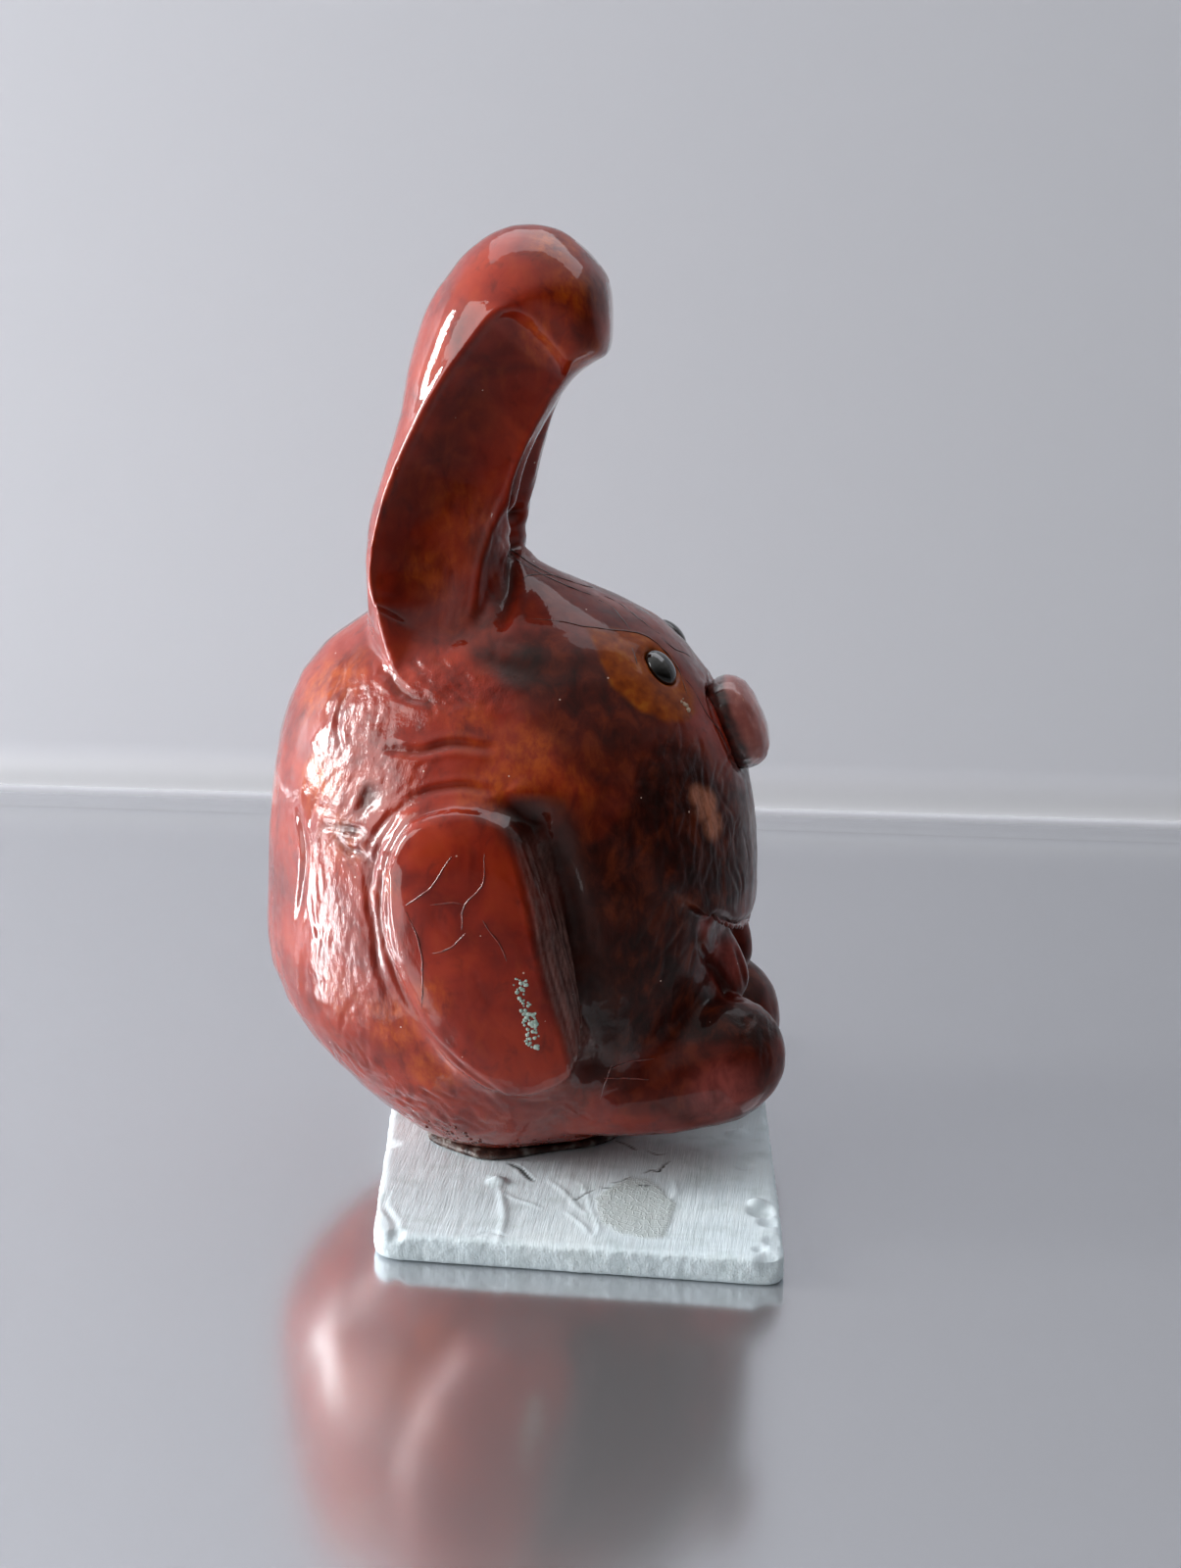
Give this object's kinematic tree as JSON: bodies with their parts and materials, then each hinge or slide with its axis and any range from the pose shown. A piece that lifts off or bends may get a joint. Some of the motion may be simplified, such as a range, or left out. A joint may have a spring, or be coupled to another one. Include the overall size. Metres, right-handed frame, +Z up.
{
  "type": "rabbit figurine",
  "caption": "Glazed clay rabbit with upright ears that curl forward, sitting on a flat painted slab.",
  "frame": {"origin": "middle of the base slab's underside", "axes": "+Z up, +X the way the rabbit looks, +Y to the rabbit's left"},
  "size_m": [0.0877, 0.1038, 0.1532],
  "materials": {
    "red_glaze": "thick glossy varnish over mottled brick-red and orange-brown paint",
    "pink_glaze": "glossy varnish over dusty pink paint",
    "black_bead": "high gloss black",
    "painted_board": "brushed matt pale blue-grey paint, worn at the edges",
    "dried_glue": "dried adhesive, dusty and slightly glossy"
  },
  "bodies": {
    "root": {"base_slab": "painted_board", "glue_bed": "dried_glue", "trunk": "red_glaze", "head": "red_glaze", "ear_right": "red_glaze", "ear_left": "red_glaze", "haunch_right": "red_glaze", "haunch_left": "red_glaze", "hind_foot_right": "red_glaze", "hind_foot_left": "red_glaze", "front_paw_right": "red_glaze", "front_paw_left": "red_glaze", "nose": "pink_glaze", "eye_right": "black_bead", "eye_left": "black_bead"}
  },
  "joints": []
}
